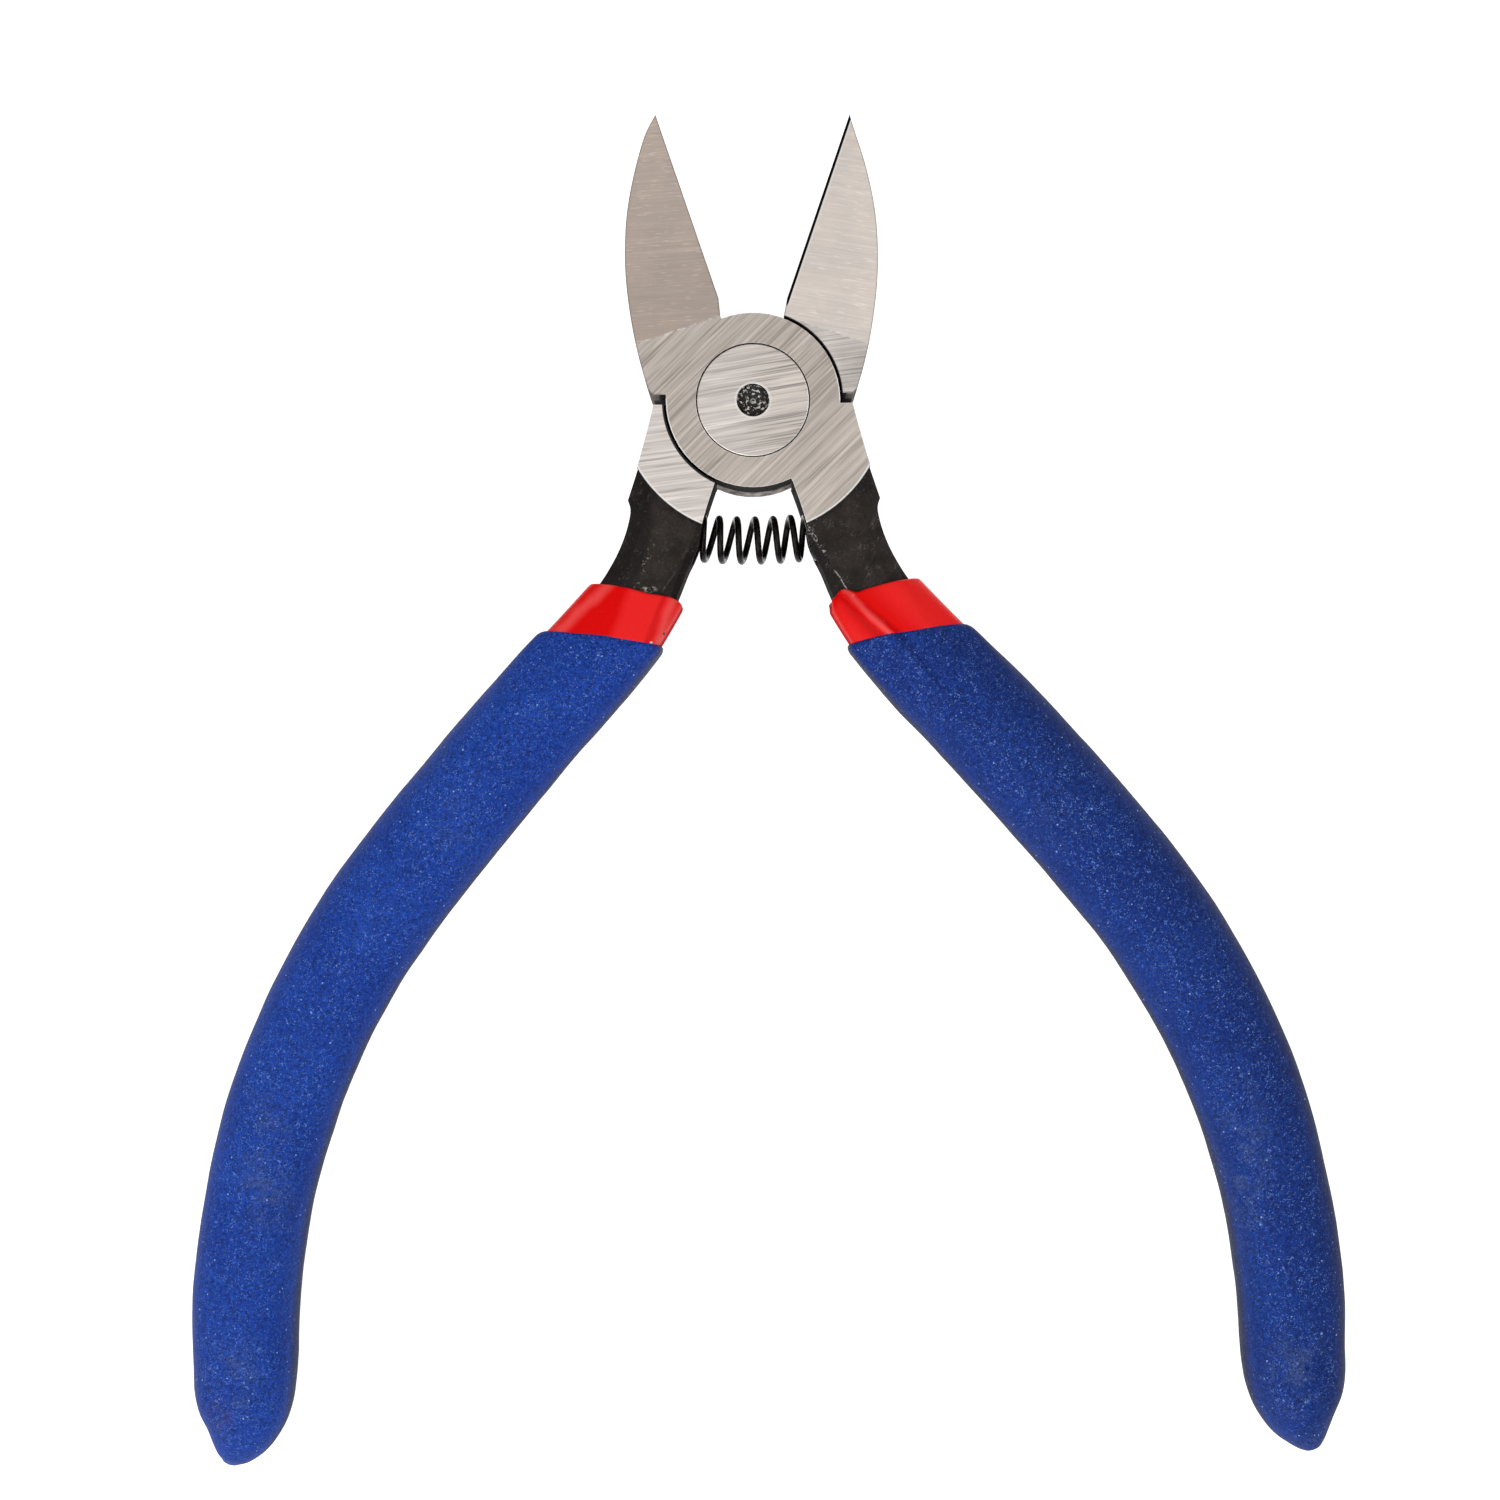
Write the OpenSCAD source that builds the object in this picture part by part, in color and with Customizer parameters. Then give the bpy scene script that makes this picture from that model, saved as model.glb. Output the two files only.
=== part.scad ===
// Flush cutter: lap-jointed spring-opening side nipper with double-dipped grips.
//
// Frame: the tool lies flat on its back face.  +Z points up out of the flush
// (front) face, +Y towards the blade tips, +X to the right.  The pivot axis is
// X = Y = 0 and Z = 0 is the ground back face of the head.  The tool is drawn
// at rest: sprung fully open, each half turned half_open from the closed line.
//
// Front half: left blade, upper joint disc, right handle.
// Rear half:  right blade, lower joint disc, left handle.

/* [Head] */
// Thickness of the ground head
head_t = 9.6; // [9.4:0.1:9.8]
// Radius of the two lapped joint discs
disc_r = 7.85; // [7.75:0.05:7.9]
// Radial gap round each joint disc
disc_gap = 0.22; // [0.15:0.01:0.3]
// Gap between the two lapped faces
lap_gap = 0.16; // [0.08:0.02:0.3]
// Radius at which the ground face stops and the tangs begin
ground_r = 12.1; // [11.8:0.1:12.3]
// How far the tangs sit below the ground faces
tang_step = 0.7; // [0.4:0.1:1]

/* [Blades] */
// Angle each half is turned from the closed line at rest
half_open = 18.5; // [17:0.5:18.5]
// How far the cutting line is turned to the right of the head's centre line
edge_turn = 0.5; // [0:0.1:0.6]
// Length of the blades from the pivot axis to the tip
blade_len = 27.8; // [27.2:0.1:28.4]
// Slope of the front faces of the blades, towards the tips
front_slope = 8; // [5:0.5:9]
// Slope of the back faces of the blades, towards the tips
back_slope = 14; // [10:0.5:15]
// Angle of the bevel behind the cutting edge, from the cutting plane
bevel_angle = 30; // [20:1:35]
// Width of the narrow flat land on the cutting edge
land = 0.2; // [0.1:0.05:0.4]

/* [Rivet] */
// Radius of the flush rivet head
rivet_head_r = 5.12; // [4.9:0.02:5.2]
// Radius of the rivet shank
rivet_r = 3.2; // [2.8:0.1:3.6]
// Radius of the punched dimple in the rivet head
dimple_r = 1.5; // [1.2:0.1:1.8]
// Running clearance between the shank and the front half, on the radius
run_fit = 0.03; // [0.02:0.01:0.08]

/* [Return spring] */
// Outer diameter of the coil
spring_od = 4.5; // [4:0.1:4.6]
// Diameter of the spring wire
wire_d = 0.52; // [0.5:0.02:0.7]
// Number of turns
turns = 11; // [9:0.5:11]
// Depth of the seats drilled in the tangs
seat_depth = 3; // [2.5:0.1:3.4]

/* [Grips] */
// Wall of the foam outer grip over the inner sleeve
grip_wall = 1.1; // [0.9:0.1:1.3]
// Half width of the steel handle bar inside the grips
bar_w = 2.5; // [2:0.1:2.7]
// Half thickness of the steel handle bar inside the grips
bar_t = 2.2; // [1.8:0.1:2.4]

/* [Hidden] */
$fn = 96;

steel = [0.74, 0.71, 0.68];
spring_black = [0.09, 0.08, 0.08];
red_pvc = [0.84, 0.08, 0.08];
blue_foam = [0.13, 0.25, 0.58];

mid = head_t / 2;
edge_clear = 0.02;       // each cutting edge stops this short of the closed line
stop_clear = 0.03;       // each stop shoulder, from the radial stop line
stop_y = 0.1;            // height of the radial stop line at the waist
facet_y = 8.1;           // where the front faces begin to slope (closed frame)
back_y = 9.6;            // where the back faces begin to slope (closed frame)
seat_y = -13.25;          // height of the spring seats (closed frame)
seat_face = 0.5;         // distance of the tang faces from the closed line
seat_r = spring_od / 2 + 0.3;

// ---------- small helpers ----------
function spline_pt(a, b, c, d, t) =
    0.5 * ((2 * b) + (c - a) * t + (2 * a - 5 * b + 4 * c - d) * t * t
           + (3 * b - a - 3 * c + d) * t * t * t);
// smooth open curve through the points of p, n steps to each span
function spline(p, n) = let (m = len(p)) concat(
    [for (i = [0:m - 2], k = [0:n - 1])
        spline_pt(i == 0 ? 2 * p[0] - p[1] : p[i - 1], p[i], p[i + 1],
                  i == m - 2 ? 2 * p[m - 1] - p[m - 2] : p[i + 2], k / n)],
    [p[m - 1]]);
function unit(v) = v / norm(v);
function turn(v, a) = [v[0] * cos(a) - v[1] * sin(a), v[0] * sin(a) + v[1] * cos(a)];
function lerp(a, b, t) = a + (b - a) * t;
function sgn_pow(v, e) = sign(v) * pow(abs(v), e);

// ---------- plan outlines, right-hand side, tool open ----------
// open angle of the cutting edge of the blade on side b
function edge_angle(b) = half_open + b * edge_turn;
function blade_back(b) = spline([turn([edge_clear, blade_len], -edge_angle(b)), [9.55, 24.6], [10.25, 22.3], [10.75, 20.2], [11.15, 18],
    [11.38, 15.8], [11.45, 13], [11.32, 10.5], [11.02, 8], [10.55, 5.3],
    [9.95, 2.8], [9.4, 1]], 4);
function blade_plan(b) = concat([[2.3, 5.8], [2.87, 7.6],
    turn([edge_clear, 9.7], -edge_angle(b))], blade_back(b),
    [[9.08, 0.62], [9, stop_y + stop_clear], [6, stop_y + stop_clear]]);

tang_inner = spline([[3.52, -7.4], [4.18, -9.3], [4.74, -11.2], [4.98, -12.6],
    [5.52, -14], [6.12, -15.2], [6.76, -16.8], [7.8, -19.3]], 3);
tang_outer = spline([[15.5, -17.7], [14.0, -16.1], [12.6, -13.9], [11.75, -12],
    [11.3, -10.4], [11.22, -9.5], [11.45, -8.75]], 3);
tang_plan = concat([[6, stop_y - stop_clear], [2.6, -5.6]], tang_inner, tang_outer,
    spline([[11.45, -8.75], [11.1, -7.7], [10.5, -5.9], [9.95, -4], [9.4, -2],
            [9.05, -0.6]], 3),
    [[8.95, stop_y - stop_clear]]);

// ---------- handle line, right-hand side, tool open ----------
// Each row: x, y, half width of the foam grip, half thickness of the foam grip
grip_line = [
    [10.75, -17.1, 3.95, 4.05], [13.95, -21.1, 4.75, 4.5], [17.95, -25.8, 5.2, 4.8],
    [22.7, -31, 5.3, 4.8], [29.8, -39.2, 5.3, 4.8], [36.1, -47.3, 5.25, 4.8],
    [40.9, -55.5, 5.15, 4.8], [44.35, -63.6, 5.05, 4.8], [46.6, -71.8, 4.9, 4.8],
    [47.85, -80, 4.85, 4.8], [48.15, -87, 4.7, 4.75], [48.4, -90.8, 4.3, 4.5],
    [48.8, -93.2, 3.3, 3.75], [49.4, -95, 2, 2.5], [49.75, -95.9, 0.8, 1.1]];
line = spline(grip_line, 2);
function tangent(i) = let (a = line[max(i - 1, 0)], b = line[min(i + 1, len(line) - 1)])
    unit([b[0] - a[0], b[1] - a[1]]);
// The dipped edges lie at a slant to the handle; the slant fades along it.
function skew(i) = i < 2 ? lerp(-24, -31, i / 2) : -31 * max(0, 1 - (i - 2) / 7);
function across(i) = turn([-tangent(i)[1], tangent(i)[0]], skew(i));
ring_n = 16;
// closed ring of ring_n points: a half width, b half thickness, e roundness
function ring(i, a, b, e) = let (u = across(i), s = a / cos(skew(i)))
    [for (k = [0:ring_n - 1]) let (q = 360 * (k + 0.5) / ring_n,
        c = sgn_pow(cos(q), e) * s, z = sgn_pow(sin(q), e) * b)
        [line[i][0] + u[0] * c, line[i][1] + u[1] * c, mid + z]];
// closed skin over a list of rings, with flat ends
module skin(rings) {
    n = len(rings[0]);
    m = len(rings);
    polyhedron(points = [for (r = rings, p = r) p],
        faces = concat(
            [[for (k = [0:n - 1]) k]],
            [for (i = [0:m - 2], k = [0:n - 1])
                [i * n + k, (i + 1) * n + k, (i + 1) * n + (k + 1) % n]],
            [for (i = [0:m - 2], k = [0:n - 1])
                [i * n + k, (i + 1) * n + (k + 1) % n, i * n + (k + 1) % n]],
            [[for (k = [n - 1:-1:0]) (m - 1) * n + k]]), convexity = 6);
}

// ---------- head and blades ----------
// cuts that shape a right-hand blade, in the closed frame
module blade_cuts() {
    // front face falls towards the tip
    translate([0, facet_y, head_t]) rotate([-front_slope, 0, 0])
        translate([-2, 0, 0]) cube([18, 24, 6]);
    // back face rises towards the tip
    translate([0, back_y, 0]) rotate([back_slope, 0, 0])
        translate([-2, 0, -8]) cube([18, 24, 8]);
    // bevel behind the cutting edge, below the narrow land
    translate([edge_clear, facet_y, head_t - land]) rotate([-front_slope, 0, 0])
        rotate([0, -bevel_angle, 0]) translate([-12, 1.6, -14]) cube([12, 24, 14]);
}

// tang of the right-hand handle: a forged bar with drafted sides
module tang() {
    difference() {
        translate([0, 0, tang_step]) linear_extrude(head_t - 2 * tang_step) polygon(tang_plan);
        for (s = [0, 1]) translate([0, 0, s * head_t]) mirror([0, 0, s]) {
            // drafted outer side
            translate([9.3, -8.4, tang_step]) rotate([0, 0, -78])
                rotate([32, 0, 0]) translate([-10, 0, -6]) cube([24, 9, 6]);
            // drafted inner side
            translate([5.0, -10.9, tang_step]) rotate([0, 0, -62.5])
                rotate([-38, 0, 0]) translate([0, -6, -6]) cube([18, 6, 6]);
            // broad faces thin towards the grip
            translate([8, -10, tang_step]) rotate([0, 0, -65])
                rotate([0, -4.5, 0]) translate([0, -10, -6]) cube([20, 20, 6]);
        }
    }
}

// the handles hang a little to the right of square; side 1 right, -1 left
module on_handle(side) {
    rotate([0, 0, side > 0 ? 0.3 : 0.45]) mirror([side > 0 ? 0 : 1, 0, 0]) children();
}

// flat bar that runs down inside the grips
module handle_bar() {
    last = 19;
    translate([0, 0, mid - bar_t]) linear_extrude(2 * bar_t) polygon(concat(
        [for (i = [0:last]) let (u = turn(tangent(i), 90))
            [line[i][0], line[i][1]] + u * bar_w * lerp(1, 0.8, i / last)],
        [for (i = [last:-1:0]) let (u = turn(tangent(i), 90))
            [line[i][0], line[i][1]] - u * bar_w * lerp(1, 0.8, i / last)]));
}

// one half of the tool: blade on side b (-1 left, 1 right), disc in front or behind
module lever(b, front) {
    low = mid - lap_gap / 2;
    high = mid + lap_gap / 2;
    difference() {
        union() {
            mirror([b < 0 ? 1 : 0, 0, 0]) linear_extrude(head_t) polygon(blade_plan(b));
            intersection() {
                mirror([b < 0 ? 0 : 1, 0, 0]) linear_extrude(head_t) polygon(tang_plan);
                cylinder(r = ground_r, h = head_t);
            }
            mirror([b < 0 ? 0 : 1, 0, 0]) tang();
            on_handle(-b) handle_bar();
            translate([0, 0, front ? high : 0])
                cylinder(r = disc_r, h = front ? head_t - high : low);
        }
        // circular recess for the other half's disc
        translate([0, 0, front ? -1 : low])
            cylinder(r = disc_r + disc_gap, h = front ? high + 1 : head_t - low + 1);
        // blade faces and bevel
        mirror([b < 0 ? 1 : 0, 0, 0]) rotate([0, 0, -edge_angle(b)]) blade_cuts();
        // relieved pockets over the stop shoulders
        for (s = [-1, 1]) translate([s < 0 ? -10 : disc_r, -0.33, mid + 0.6])
            cube([10 - disc_r, 0.9, head_t]);
        // seat for the return spring
        mirror([b < 0 ? 0 : 1, 0, 0]) rotate([0, 0, half_open])
            translate([-1, seat_y, mid]) rotate([0, 90, 0])
                cylinder(r = seat_r, h = 1 + seat_face + seat_depth);
        // rivet bore, and the counterbore or countersink for its head
        translate([0, 0, -1]) cylinder(r = rivet_r + (front ? run_fit : 0.01), h = head_t + 2);
        if (front) translate([0, 0, head_t - 1.6]) cylinder(r = rivet_head_r + 0.03, h = 3);
        else translate([0, 0, -0.01]) cylinder(r1 = rivet_r + 1.32, r2 = rivet_r + 0.01, h = 1.32);
    }
}

module front_lever() { color(steel) lever(-1, true); }
module rear_lever() { color(steel) lever(1, false); }

// ---------- rivet ----------
module pivot_rivet() {
    color(steel) rotate_extrude() polygon([
        [0, 0], [rivet_r + 1.3, 0], [rivet_r, 1.3], [rivet_r, head_t - 1.55],
        [rivet_head_r, head_t - 1.55], [rivet_head_r, head_t - 0.12],
        [rivet_head_r - 0.12, head_t], [dimple_r, head_t],
        [dimple_r - 0.25, head_t - 0.55], [0, head_t - 0.85]]);
}

// ---------- return spring ----------
// Bowed line between the two tilted seats: level in the middle, square to the
// seat face at each end.
seat_end = turn([seat_face + seat_depth - 0.05 - wire_d / 2, seat_y], half_open);
seat_dir = turn([1, 0], half_open);
function bow(t) = let (q = [-seat_end[0], seat_end[1]], r = seat_end,
    d = [seat_dir[0], -seat_dir[1]] * 9, e = seat_dir * 9)
    (2 * t * t * t - 3 * t * t + 1) * q + (t * t * t - 2 * t * t + t) * d
    + (3 * t * t - 2 * t * t * t) * r + (t * t * t - t * t) * e;
// fraction of the length for fraction f of the turns: end turns lie close
closed = 0.9;
function feed(f) = let (w = f * turns, p = wire_d * 1.04,
    L = 2 * norm(seat_end - [0, seat_end[1]]) * 1.03,
    mid_p = (L - 2 * closed * p) / (turns - 2 * closed))
    w < closed ? w * p / L
    : w > turns - closed ? 1 - (turns - w) * p / L
    : (closed * p + (w - closed) * mid_p) / L;
module return_spring() {
    steps = 12;
    m = round(turns * steps);
    rc = spring_od / 2 - wire_d / 2;
    function at(f) = let (t = feed(f), c = bow(t),
        g = unit(bow(min(t + 0.01, 1)) - bow(max(t - 0.01, 0))),
        q = 360 * turns * f - 120)
        [c[0] - g[1] * rc * cos(q), c[1] + g[0] * rc * cos(q), mid + rc * sin(q)];
    color(spring_black) skin([for (i = [0:m]) let (
        p = at(i / m), v = unit(at(min((i + 0.5) / m, 1)) - at(max((i - 0.5) / m, 0))),
        t = feed(i / m), c = bow(t), out = unit(p - [c[0], c[1], mid]),
        o = unit(out - v * (out * v)), w = cross(v, o))
        [for (k = [0:7]) p + wire_d / 2 * (o * cos(45 * k) + w * sin(45 * k))]]);
}

// ---------- grips, right-hand side ----------
last_i = len(line) - 1;
lip = 2;                  // the foam grip starts at this step of the handle line
sleeve_end = last_i - 4;  // last step of the inner sleeve
function sleeve_a(i) = i < lip ? lerp(3.9, 4.35, i / lip)
    : line[i][2] - lerp(0.25, grip_wall, min(1, (i - lip) / 3));
function sleeve_b(i) = i < lip ? lerp(4.05, 4.35, i / lip)
    : line[i][3] - lerp(0.25, grip_wall, min(1, (i - lip) / 3));
module inner_sleeve() {
    skin(concat(
        [for (i = [sleeve_end - 1:-1:2]) ring(i, bar_w * 1.12, bar_t * 1.12, 0.6)],
        [ring(1, 3.75, 3.6, 0.7), ring(0, 3.6, 3.7, 0.7)],
        [for (i = [0:sleeve_end - 1]) ring(i, sleeve_a(i), sleeve_b(i), 0.82)],
        [ring(sleeve_end, sleeve_a(sleeve_end) * 0.7, sleeve_b(sleeve_end) * 0.7, 0.85)]));
}
module outer_grip() {
    skin(concat(
        [ring(sleeve_end, sleeve_a(sleeve_end) * 0.7 + 0.02, sleeve_b(sleeve_end) * 0.7 + 0.02, 0.85)],
        [for (i = [sleeve_end - 1:-1:lip]) ring(i, sleeve_a(i) + 0.02, sleeve_b(i) + 0.02, 0.82)],
        [for (i = [lip:last_i]) ring(i, line[i][2], line[i][3], 0.9)]));
}

module right_inner_sleeve() { color(red_pvc) on_handle(1) inner_sleeve(); }
module left_inner_sleeve() { color(red_pvc) on_handle(-1) inner_sleeve(); }
module right_outer_grip() { color(blue_foam) on_handle(1) outer_grip(); }
module left_outer_grip() { color(blue_foam) on_handle(-1) outer_grip(); }

front_lever();
rear_lever();
pivot_rivet();
return_spring();
left_inner_sleeve();
right_inner_sleeve();
left_outer_grip();
right_outer_grip();
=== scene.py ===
import math
import random

import bpy
import bmesh
import numpy as np
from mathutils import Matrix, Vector, noise


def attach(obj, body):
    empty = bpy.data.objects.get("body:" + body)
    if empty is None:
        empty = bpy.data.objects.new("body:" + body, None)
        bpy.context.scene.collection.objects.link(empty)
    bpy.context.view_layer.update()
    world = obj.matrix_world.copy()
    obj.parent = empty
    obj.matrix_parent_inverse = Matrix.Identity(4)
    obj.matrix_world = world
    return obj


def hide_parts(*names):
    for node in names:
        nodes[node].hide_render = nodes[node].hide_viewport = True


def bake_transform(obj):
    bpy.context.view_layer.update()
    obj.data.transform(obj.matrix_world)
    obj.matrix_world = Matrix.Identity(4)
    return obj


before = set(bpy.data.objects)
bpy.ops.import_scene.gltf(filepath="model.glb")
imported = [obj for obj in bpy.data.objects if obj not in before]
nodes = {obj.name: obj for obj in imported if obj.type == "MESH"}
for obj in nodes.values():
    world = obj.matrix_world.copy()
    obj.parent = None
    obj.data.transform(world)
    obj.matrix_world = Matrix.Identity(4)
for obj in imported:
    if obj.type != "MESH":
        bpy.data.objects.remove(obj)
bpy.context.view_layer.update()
MM = 0.001
scene = bpy.context.scene
scene.view_settings.view_transform = "Standard"
scene.view_settings.look = "None"
random.seed(7)

HEAD_T = 9.6
MID = HEAD_T / 2
OPEN = math.radians(18.5)


# ------------------------------------------------------------ camera
DIST = 240.0
cam_data = bpy.data.cameras.new("camera")
cam_data.sensor_width = 36
cam_data.lens = 36 * DIST / 135.0
cam_data.clip_start = 0.01
cam_data.clip_end = 20
cam = bpy.data.objects.new("camera", cam_data)
scene.collection.objects.link(cam)
cam.location = (-0.60 * MM, -31.5 * MM, (HEAD_T + DIST) * MM)
cam.rotation_euler = (0, 0, math.radians(-0.6))
scene.camera = cam


# ------------------------------------------------------------ node building
class Mat:
    """A node material with a principled shader and short ways to feed it."""

    def __init__(self, name):
        self.mat = bpy.data.materials.new(name)
        self.mat.use_nodes = True
        self.nt = self.mat.node_tree
        self.nt.nodes.clear()
        self.out = self.new("ShaderNodeOutputMaterial")
        self.bsdf = self.new("ShaderNodeBsdfPrincipled")
        self.nt.links.new(self.bsdf.outputs[0], self.out.inputs[0])

    def new(self, kind, **props):
        n = self.nt.nodes.new(kind)
        for k, v in props.items():
            setattr(n, k, v)
        return n

    def put(self, socket, value):
        if isinstance(value, bpy.types.NodeSocket):
            self.nt.links.new(value, socket)
        elif value is not None:
            socket.default_value = value

    def set(self, **values):
        for k, v in values.items():
            self.put(self.bsdf.inputs[k.replace("_", " ")], v)

    def m(self, op, a, b=None, c=None, clamp=False):
        n = self.new("ShaderNodeMath", operation=op, use_clamp=clamp)
        for s, v in zip(n.inputs, (a, b, c)):
            self.put(s, v)
        return n.outputs[0]

    def add(self, a, b):
        return self.m("ADD", a, b)

    def sub(self, a, b):
        return self.m("SUBTRACT", a, b)

    def mul(self, a, b):
        return self.m("MULTIPLY", a, b)

    def mad(self, a, b, c):
        return self.m("MULTIPLY_ADD", a, b, c)

    def vec(self, x, y, z=0.0):
        n = self.new("ShaderNodeCombineXYZ")
        for s, v in zip(n.inputs, (x, y, z)):
            self.put(s, v)
        return n.outputs[0]

    def split(self, v):
        n = self.new("ShaderNodeSeparateXYZ")
        self.put(n.inputs[0], v)
        return n.outputs[0], n.outputs[1], n.outputs[2]

    def point(self):
        """Rest position in the part's frame, in millimetres."""
        tc = self.new("ShaderNodeTexCoord")
        n = self.new("ShaderNodeVectorMath", operation="SCALE")
        self.put(n.inputs[0], tc.outputs["Object"])
        n.inputs["Scale"].default_value = 1000.0
        return n.outputs[0]

    def noise(self, v, scale=1.0, detail=2.0, rough=0.5, distort=0.0):
        n = self.new("ShaderNodeTexNoise")
        self.put(n.inputs["Vector"], v)
        self.put(n.inputs["Scale"], scale)
        self.put(n.inputs["Detail"], detail)
        self.put(n.inputs["Roughness"], rough)
        self.put(n.inputs["Distortion"], distort)
        return n.outputs["Fac"]

    def cells(self, v, scale=1.0, feature="F1", rand=1.0, out="Distance"):
        n = self.new("ShaderNodeTexVoronoi", feature=feature)
        self.put(n.inputs["Vector"], v)
        self.put(n.inputs["Scale"], scale)
        self.put(n.inputs["Randomness"], rand)
        return n.outputs[out]

    def step(self, x, lo, hi):
        """0 below lo, 1 above hi, smooth between (lo may be above hi)."""
        n = self.new("ShaderNodeMapRange", interpolation_type="SMOOTHSTEP")
        flip = lo > hi
        self.put(n.inputs["Value"], x)
        n.inputs["From Min"].default_value = min(lo, hi)
        n.inputs["From Max"].default_value = max(lo, hi)
        n.inputs["To Min"].default_value = 1.0 if flip else 0.0
        n.inputs["To Max"].default_value = 0.0 if flip else 1.0
        return n.outputs["Result"]

    def bump_at(self, x, centre, width):
        """1 at centre, falling smoothly to 0 at width away."""
        d = self.m("ABSOLUTE", self.sub(x, centre))
        return self.step(d, width, 0.0)

    def mix(self, f, a, b, blend="MIX"):
        n = self.new("ShaderNodeMix", data_type="RGBA", blend_type=blend)
        n.clamp_factor = True
        self.put(n.inputs[0], f)
        self.put(n.inputs[6], a if isinstance(a, bpy.types.NodeSocket) else (*a, 1))
        self.put(n.inputs[7], b if isinstance(b, bpy.types.NodeSocket) else (*b, 1))
        return n.outputs[2]

    def lerp(self, f, a, b):
        n = self.new("ShaderNodeMix", data_type="FLOAT")
        self.put(n.inputs[0], f)
        self.put(n.inputs[2], a)
        self.put(n.inputs[3], b)
        return n.outputs[0]

    def gain(self, colour, amount):
        """Colour times a number."""
        n = self.new("ShaderNodeVectorMath", operation="SCALE")
        self.put(n.inputs[0], colour)
        self.put(n.inputs["Scale"], amount)
        return n.outputs[0]

    def edge(self, radius, lo=0.995, hi=0.90):
        """1 along sharp edges within radius (mm), 0 on open surfaces."""
        b = self.new("ShaderNodeBevel", samples=6)
        b.inputs["Radius"].default_value = radius * MM
        g = self.new("ShaderNodeNewGeometry")
        n = self.new("ShaderNodeVectorMath", operation="DOT_PRODUCT")
        self.put(n.inputs[0], b.outputs[0])
        self.put(n.inputs[1], g.outputs["Normal"])
        return self.step(n.outputs["Value"], lo, hi)

    def flatness(self):
        """Size of the surface normal's Z part: 1 on faces square to the pivot."""
        g = self.new("ShaderNodeNewGeometry")
        return self.m("ABSOLUTE", self.split(g.outputs["Normal"])[2])

    def bump(self, height, distance, normal=None):
        n = self.new("ShaderNodeBump")
        n.inputs["Distance"].default_value = distance * MM
        self.put(n.inputs["Height"], height)
        self.put(n.inputs["Normal"], normal)
        return n.outputs[0]


def srgb(r, g, b):
    def f(c):
        c /= 255.0
        return c / 12.92 if c <= 0.04045 else ((c + 0.055) / 1.055) ** 2.4
    return (f(r), f(g), f(b))


def rubbed(k, x, y, z, angle, seed):
    """Grinding marks at an angle (degrees): coarse, fine, dark scratches, light scratches."""
    a = math.radians(angle)
    along = k.add(k.mul(x, math.cos(a)), k.mul(y, math.sin(a)))
    over = k.sub(k.mul(y, math.cos(a)), k.mul(x, math.sin(a)))
    coarse = k.noise(k.vec(k.mul(along, 0.035), k.mul(over, 0.8), k.mad(z, 0.2, seed)),
                     1.0, 2.0, 0.5)
    fine = k.noise(k.vec(k.mul(along, 0.10), k.mul(over, 6.4), k.mad(z, 1.5, seed + 3)),
                   1.0, 2.0, 0.6)

    def scratches(sd, pitch, width, lo, hi):
        n = k.noise(k.vec(k.mul(along, 0.018), k.mul(over, pitch), k.mad(z, 0.4, sd)), 1.0, 1.0, 0.5)
        line_ = k.step(k.m("ABSOLUTE", k.sub(n, 0.5)), width, 0.0)
        here = k.noise(k.vec(k.mul(along, 0.12), k.mul(over, 1.7), k.mad(z, 0.5, sd + 5)), 1.0, 2.0, 0.6)
        return k.mul(line_, k.step(here, lo, hi))

    mid = k.noise(k.vec(k.mul(along, 0.05), k.mul(over, 4.0), k.mad(z, 1.1, seed + 14)), 1.0, 2.0, 0.6)
    short = k.noise(k.vec(k.mul(along, 0.85), k.mul(over, 6.5), k.mad(z, 1.7, seed + 17)), 1.0, 1.0, 0.5)
    return (coarse, fine, scratches(seed + 9, 2.5, 0.12, 0.44, 0.56), scratches(seed + 21, 2.1, 0.11, 0.48, 0.60),
            mid, k.step(short, 0.60, 0.72))


def streak_gain(k, s, coarse=0.14, fine=0.80, dark=0.26, light=0.20, mid=0.22):
    g = k.mad(k.sub(s[0], 0.5), coarse, 1.06)
    g = k.add(g, k.mul(k.sub(s[1], 0.5), fine))
    g = k.add(g, k.mul(k.sub(s[4], 0.5), mid))
    g = k.sub(g, k.mul(s[2], dark))
    return k.add(g, k.mul(s[3], light))


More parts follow.
